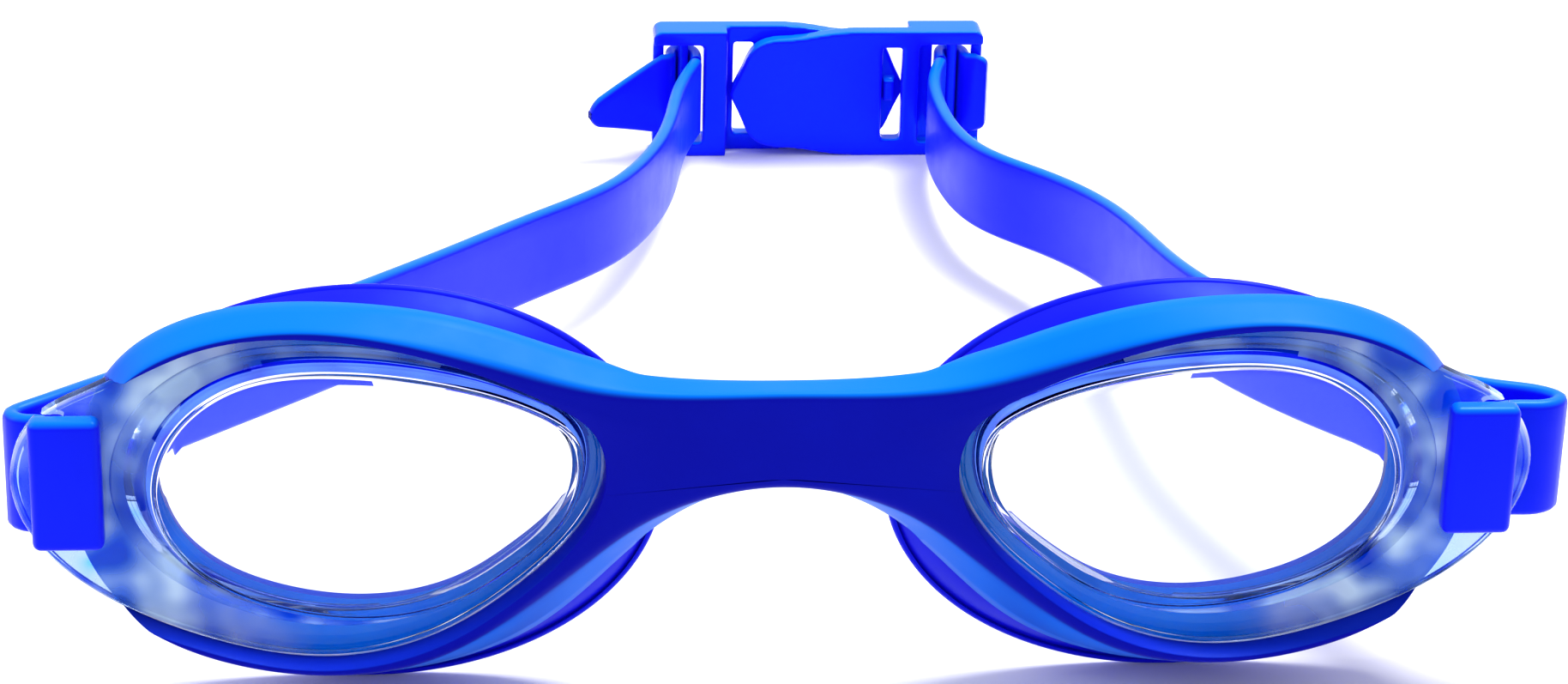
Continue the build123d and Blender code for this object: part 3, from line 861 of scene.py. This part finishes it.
def make_seal(name, side):
    """Flared skirt behind a rim, with a soft rolled lip turned in where it meets the face."""
    depth = SEAL_REAR_Y - RIM_REAR_Y
    rings = [
        seal_oval(0, NECK_ROUND, RIM_REAR_Y + 0.01),
        seal_oval(0, 0.0, RIM_REAR_Y + NECK_ROUND),
    ]
    for share in np.linspace(0.12, 0.88, 9):
        bulge = SKIRT_BULGE * math.sin(share * math.pi)
        rings.append(seal_oval(share + bulge, 0, RIM_REAR_Y + depth * share))
    for a in np.radians(np.linspace(0, 180, 9)):
        y = SEAL_REAR_Y - LIP_ROUND - LIP_ROUND * math.cos(a)
        rings.append(seal_oval(1.0, LIP_ROUND * (1 - math.sin(a)), y))
    lip_end = SEAL_LIP - LIP_EDGE_ROUND
    for inset in (1.4, 2.2, lip_end):
        rings.append(seal_oval(1.0, inset, SEAL_REAR_Y))
    for a in np.radians((30, 90, 150)):
        y = SEAL_REAR_Y - LIP_ROUND + LIP_ROUND * math.cos(a)
        rings.append(seal_oval(1.0, lip_end + LIP_EDGE_ROUND * math.sin(a), y))
    rings.append(seal_oval(0.92, SEAL_WALL + 0.3, SEAL_REAR_Y - SEAL_LIP_THICK))
    for share in (0.7, 0.4, 0.15):
        rings.append(seal_oval(share + 0.1, SEAL_WALL, RIM_REAR_Y + depth * share))
    rings.append(seal_oval(0, SEAL_WALL, RIM_REAR_Y + NECK_ROUND))
    rings.append(seal_oval(0, SEAL_WALL - NECK_ROUND, RIM_REAR_Y + 0.01))
    points = np.vstack(rings) * np.array([side, 1, 1])
    faces = ring_faces(len(rings), SEAL_AROUND, close_rings=True)
    piece = make_object(f"soft_face_seal_{name}", points, faces, MATERIALS["seal_rubber"], 60)
    finish_piece(piece, "eyepiece", "seal_rubber", f"{name}_face_seal")


# ======================================================================================
# Straps
# ======================================================================================

STRAP_POINTS, WRAP_POINTS, TAIL_POINTS = 240, 50, 29
HEIGHT_SAMPLES = 400
ROUND_SECTION_STEPS = 5
SECTION_ROUND = 0.46                 # corner radius, as a share of the strap's thickness

# The fold behind the right ear stands out further than the one behind the left ear.
FOLD_SHIFT = {"left": -1.6, "right": 2.3}
FOLD_START_X, FOLD_SPREAD = 76.0, 4.0
FOLD_EXTRA_WIDTH = 1.9               # the strap is wider behind the ear
FOLD_LOWER_SHARE = 0.3               # how far the middle line drops with the extra width
FOLD_WIDE_Y = (6.8, 8.6, 13.0, 30.0)

ANCHOR_ROUND = 0.9


def at(x, y, z):
    """A millimetre point put into the frame."""
    return tuple(place(np.array([[x, y, z]], float))[0])


def strap_section(width, thick):
    """Cross-section of a strap, u across its thickness and v up its width, with rounded edges."""
    radius = thick * SECTION_ROUND
    section = []
    for k, (sign_u, sign_v) in enumerate([(1, 1), (-1, 1), (-1, -1), (1, -1)]):
        for step in range(ROUND_SECTION_STEPS):
            a = math.radians(90 * (k + step / (ROUND_SECTION_STEPS - 1)))
            u = sign_u * (thick / 2 - radius) + radius * math.cos(a)
            v = sign_v * (width / 2 - radius) + radius * math.sin(a)
            section.append((u, v))
        if k in (1, 3):
            u, v = section[-1]
            section += [(u, v * (1 - 2 * share)) for share in (0.2, 0.4, 0.6, 0.8)]
    return section


def ribbon(name, plan, middle_z, widths, thick):
    """Upright strap along plan points, at the given heights and widths."""
    ahead = np.gradient(plan, axis=0)
    ahead /= np.linalg.norm(ahead, axis=1, keepdims=True)
    across = np.stack([ahead[:, 1], -ahead[:, 0]], axis=1)
    points = []
    for spot, aside, z, width in zip(plan, across, middle_z, widths):
        for u, v in strap_section(width, thick):
            points.append((spot[0] + aside[0] * u, spot[1] + aside[1] * u, z + v))
    count = len(points) // len(plan)
    faces = ring_faces(len(plan), count)
    faces.append(tuple(range(count)))
    faces.append(tuple(range(len(points) - count, len(points))))
    return make_object(name, points, faces, MATERIALS["strap_rubber"], 50)


def strap_height(y):
    """Height of the strap's middle line at each y."""
    curve = smooth_curve(LOWER_EDGE, HEIGHT_SAMPLES)
    return np.interp(y, curve[:, 0], curve[:, 1]) + STRAP_WIDTH / 2


def strap_plan(name, side, path):
    """Plan points of a strap from its slot in the ear, round the fold and back to the clasp."""
    fold = []
    for x, y in FOLD_PATH:
        share = max(0.0, min(1.0, (x - FOLD_START_X) / FOLD_SPREAD))
        fold.append((x + FOLD_SHIFT[name] * share, y))
    return smooth_curve([(side * x, y) for x, y in fold + path[1:]], STRAP_POINTS)


def strap_stretch(name, plan):
    """Piece of strap along part of its plan, wider behind the ear."""
    extra = FOLD_EXTRA_WIDTH * np.interp(plan[:, 1], FOLD_WIDE_Y, (0, 1, 1, 0))
    middle_z = strap_height(plan[:, 1]) - extra * FOLD_LOWER_SHARE
    return ribbon(name, plan, middle_z, STRAP_WIDTH + extra, STRAP_THICK)


def finish_front_strap(piece, name):
    """The strap from the ear to the clasp, put in place of the CAD strap pieces."""
    at(0, 13.0, 0)
    at(0, 34.0, 0)
    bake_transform(piece)
    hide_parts(f"{name}_strap_fold", f"{name}_strap_root", f"{name}_strap_side")


def make_left_strap():
    """The left strap, with its rear stretch as a piece of its own."""
    plan = strap_plan("left", -1, LEFT_PATH)
    cut = int(np.argmax(plan[:, 1] > LEFT_REAR_Y)) + 1
    rear = strap_stretch("strap_left_rear", plan[cut - 1:])
    at(0, LEFT_REAR_Y + 2, 0)
    at(0, CLASP_Y - 6, 0)
    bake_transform(rear)
    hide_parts("left_strap_rear")
    finish_front_strap(strap_stretch("strap_left", plan[:cut]), "left")


def make_right_strap():
    """The right strap in one stretch."""
    finish_front_strap(strap_stretch("strap_right", strap_plan("right", 1, RIGHT_PATH)), "right")


def make_tail(name, side):
    """Strap round the clasp's bar and its free tapered tail."""
    length, tip_low, tip_high, tip_round = TAILS[name]
    wrap = smooth_curve([(CLASP_X + side * u, CLASP_Y + v) for u, v in WRAP_PATH], WRAP_POINTS)
    start = wrap[-1]
    reach = 1 - (1 - np.linspace(0, 1, TAIL_POINTS + 1)[1:]) ** 2
    tail = np.column_stack([
        start[0] + side * length * reach,
        start[1] - length * TAIL_LEAN * reach ** 2,
    ])
    low, high = LOWER_EDGE[-1][1], LOWER_EDGE[-1][1] + STRAP_WIDTH
    lows, highs = [low] * len(wrap), [high] * len(wrap)
    for share in reach:
        to_tip = min((1 - share) * length, tip_round)
        trim = tip_round - math.sqrt(tip_round ** 2 - (tip_round - to_tip) ** 2)
        lows.append(low + (tip_low - low) * share + trim)
        highs.append(high + (tip_high - high) * share - trim)
    lows, highs = np.array(lows), np.array(highs)
    piece = ribbon(
        f"strap_tail_{name}", np.vstack([wrap, tail]), (lows + highs) / 2, highs - lows, WRAP_THICK,
    )
    start_x = CLASP_X + side * (TAIL_START - 2.0)
    at(start_x, CLASP_Y, 0)
    at(start_x + side * 2.4, CLASP_Y, 0)
    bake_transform(piece)
    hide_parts(f"{name}_strap_wrap", f"{name}_strap_tail")


def make_anchor(name, side):
    """Thick moulded strap end in front of the ear, with rounded edges."""
    near, far = sorted((side * (ANCHOR_X - ANCHOR_W / 2), side * (ANCHOR_X + ANCHOR_W / 2)))
    piece = rounded_box(
        f"strap_end_{name}", (near, ANCHOR_FRONT_Y, EAR_Z - ANCHOR_H / 2),
        (far, ANCHOR_REAR_Y, EAR_Z + ANCHOR_H / 2), ANCHOR_ROUND, segments=5,
    )
    piece.data.materials.append(MATERIALS["strap_rubber"])
    shade(piece, 60)
    finish_piece(piece, "eyepiece", "strap_rubber", f"{name}_strap_anchor")


# ======================================================================================
# Clasp
# ======================================================================================

CLASP_VOXEL = 0.26
CLASP_SMOOTHING = 4


def make_clasp_half(name, body):
    """Moulded clasp half with softened edges."""
    node = f"{name}_clasp_half"
    piece = bpy.data.objects.new(f"clasp_{name}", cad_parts[node].data.copy())
    bpy.context.scene.collection.objects.link(piece)
    remesh = piece.modifiers.new("even", "REMESH")
    remesh.mode, remesh.voxel_size = "VOXEL", CLASP_VOXEL * MM
    soften = piece.modifiers.new("soft", "SMOOTH")
    soften.factor, soften.iterations = 0.5, CLASP_SMOOTHING
    apply_modifiers(piece)
    piece.data.materials.clear()
    piece.data.materials.append(MATERIALS["clasp_plastic"])
    shade(piece, 180)
    finish_piece(piece, body, "clasp_plastic", node)


# ======================================================================================
# Studio
# ======================================================================================

TABLE_HALF = 3
TABLE_DARK, TABLE_PALE, TABLE_ROUGHNESS = (0.86, 0.86, 0.90), (0.90, 0.90, 0.93), 0.7
SKY, SKY_STRENGTH = (0.97, 0.98, 1.0), 0.8
CAMERA_PITCH, CAMERA_YAW, CAMERA_ROLL = -24.5, -5.07, 1.6
CAMERA_SPOT = (-35.6, -395.5, 226.0)
SENSOR_WIDTH, LENS_LENGTH = 36.0, 98.05


def area_light(name, spot, aim, size, power):
    """Soft rectangular light at a spot, turned towards its aim, in metres."""
    data = bpy.data.lights.new(name, "AREA")
    data.shape, data.size, data.size_y = "RECTANGLE", size[0], size[1]
    data.energy = power
    light = bpy.data.objects.new(name, data)
    light.location = spot
    light.rotation_euler = (Vector(aim) - Vector(spot)).to_track_quat("-Z", "Y").to_euler()
    bpy.context.scene.collection.objects.link(light)


def make_floor():
    """Pale matt table top."""
    material, shader = new_material("pale_table")
    colour = mix_colours(material, mottle(material, TABLE_SCALE, 4, 0, 1), TABLE_DARK, TABLE_PALE)
    link(material, colour, shader.inputs["Base Color"])
    shader.inputs["Roughness"].default_value = TABLE_ROUGHNESS
    mesh = bpy.data.meshes.new("table")
    corners = [(x * TABLE_HALF, y * TABLE_HALF, 0) for x, y in ((-1, -1), (1, -1), (1, 1), (-1, 1))]
    mesh.from_pydata(corners, [], [(0, 1, 2, 3)])
    mesh.materials.append(material)
    table = bpy.data.objects.new("table", mesh)
    bpy.context.scene.collection.objects.link(table)


def make_camera():
    """Long lens looking down on the goggles from the front."""
    pitch, yaw, roll = (math.radians(angle) for angle in (CAMERA_PITCH, CAMERA_YAW, CAMERA_ROLL))
    level = math.cos(pitch)
    ahead = Vector((-math.sin(yaw) * level, math.cos(yaw) * level, math.sin(pitch)))
    right = ahead.cross(Vector((0, 0, 1))).normalized()
    up = right.cross(ahead)
    rolled_right = right * math.cos(roll) + up * math.sin(roll)
    rolled_up = up * math.cos(roll) - right * math.sin(roll)
    matrix = Matrix((rolled_right, rolled_up, -ahead)).transposed().to_4x4()
    matrix.translation = Vector(at(*CAMERA_SPOT))
    data = bpy.data.cameras.new("camera")
    data.sensor_width, data.lens = SENSOR_WIDTH, LENS_LENGTH
    camera = bpy.data.objects.new("camera", data)
    camera.matrix_world = matrix
    bpy.context.scene.collection.objects.link(camera)
    bpy.context.scene.camera = camera


def make_studio():
    """Bright sky with soft lights from above and from the left."""
    world = bpy.data.worlds.new("studio")
    bpy.context.scene.world = world
    world.use_nodes = True
    world.node_tree.nodes["Background"].inputs["Color"].default_value = (*SKY, 1)
    world.node_tree.nodes["Background"].inputs["Strength"].default_value = SKY_STRENGTH
    area_light("key_above", (0.22, 0.20, 0.62), (0, 0, 0.02), (0.26, 0.2), 5.0)
    area_light("strip_left", (-0.5, -0.1, 0.35), (0, -0.05, 0.02), (0.2, 0.5), 1.5)
    make_floor()
    make_camera()
    bpy.context.scene.view_settings.view_transform = "Standard"


make_studio()
make_eye_frame()
for side_name, side_sign in SIDES:
    make_lens(side_name, side_sign)
    make_seal(side_name, side_sign)
    make_anchor(side_name, side_sign)
make_left_strap()
make_right_strap()
make_tail("left", -1)
make_tail("right", 1)
make_clasp_half("left", "left_clasp")
make_clasp_half("right", "strap_loop")
